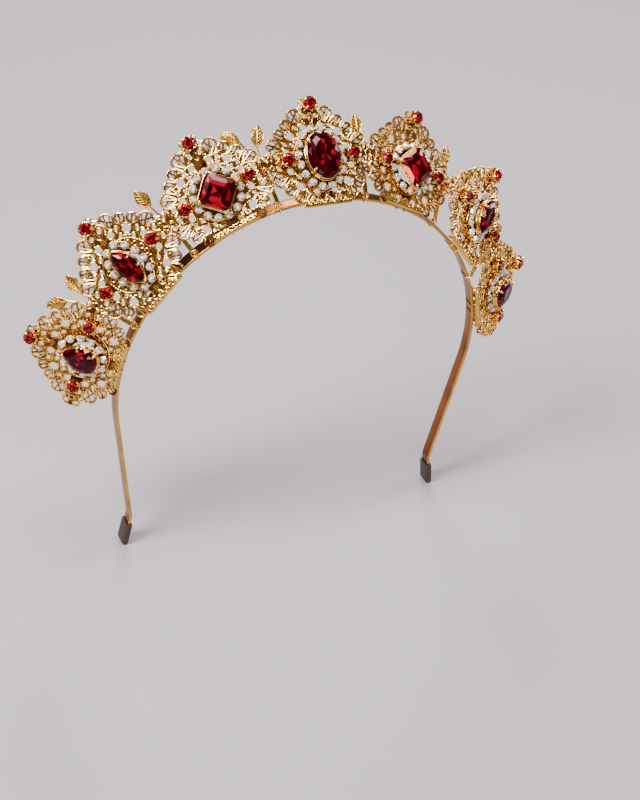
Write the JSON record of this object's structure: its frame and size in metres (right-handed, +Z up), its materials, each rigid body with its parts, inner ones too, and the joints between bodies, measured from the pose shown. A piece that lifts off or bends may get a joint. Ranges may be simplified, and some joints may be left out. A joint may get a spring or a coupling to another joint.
{
  "type": "crown headband",
  "caption": "Headband crown with a row of leaning filigree plates, each with a claw-set red stone in a ring of clear stones, and leaf sprigs between the plates.",
  "frame": {"origin": "centre of the band's arc, in the plane of the band's front edge, inside the place of the head", "axes": "+Z up as worn, +Y to the back of the head, +X to the wearer's left"},
  "size_m": [0.2142, 0.03, 0.1818],
  "materials": {
    "band_gold": "polished, gold coloured",
    "plate_gold": "polished stamping, gold coloured with darker recesses",
    "setting_gold": "polished, gold coloured",
    "leaf_gold": "polished casting, gold coloured",
    "wire_gold": "drawn wire, gold coloured",
    "ruby_glass": "faceted deep red glass with a foiled back",
    "clear_glass": "faceted clear glass with a foiled back",
    "cap_brown": "matte, soft touch"
  },
  "bodies": {
    "root": {"headband": "band_gold", "end_cap_right": "cap_brown", "end_cap_left": "cap_brown", "plate_right_3": "plate_gold", "plate_right_2": "plate_gold", "plate_right_1": "plate_gold", "plate_middle": "plate_gold", "plate_left_1": "plate_gold", "plate_left_2": "plate_gold", "plate_left_3": "plate_gold", "halo_right_3": "setting_gold", "halo_right_2": "setting_gold", "halo_right_1": "setting_gold", "halo_middle": "setting_gold", "halo_left_1": "setting_gold", "halo_left_2": "setting_gold", "halo_left_3": "setting_gold", "halo_stones_right_3": "clear_glass", "halo_stones_right_2": "clear_glass", "halo_stones_right_1": "clear_glass", "halo_stones_middle": "clear_glass", "halo_stones_left_1": "clear_glass", "halo_stones_left_2": "clear_glass", "halo_stones_left_3": "clear_glass", "claw_setting_right_3": "setting_gold", "claw_setting_right_2": "setting_gold", "claw_setting_right_1": "setting_gold", "claw_setting_middle": "setting_gold", "claw_setting_left_1": "setting_gold", "claw_setting_left_2": "setting_gold", "claw_setting_left_3": "setting_gold", "pear_stone_right_3": "ruby_glass", "navette_stone_right_2": "ruby_glass", "square_stone_right_1": "ruby_glass", "oval_stone_middle": "ruby_glass", "square_stone_left_1": "ruby_glass", "navette_stone_left_2": "ruby_glass", "pear_stone_left_3": "ruby_glass", "accent_settings_right_3": "setting_gold", "accent_settings_right_2": "setting_gold", "accent_settings_right_1": "setting_gold", "accent_settings_middle": "setting_gold", "accent_settings_left_1": "setting_gold", "accent_settings_left_2": "setting_gold", "accent_settings_left_3": "setting_gold", "accent_stones_right_3": "ruby_glass", "accent_stones_right_2": "ruby_glass", "accent_stones_right_1": "ruby_glass", "accent_stones_middle": "ruby_glass", "accent_stones_left_1": "ruby_glass", "accent_stones_left_2": "ruby_glass", "accent_stones_left_3": "ruby_glass", "leaf_sprig_1": "leaf_gold", "leaf_sprig_2": "leaf_gold", "leaf_sprig_3": "leaf_gold", "leaf_sprig_4": "leaf_gold", "leaf_sprig_5": "leaf_gold", "leaf_sprig_6": "leaf_gold", "plate_wires": "wire_gold", "sprig_wires": "wire_gold"}
  },
  "joints": []
}
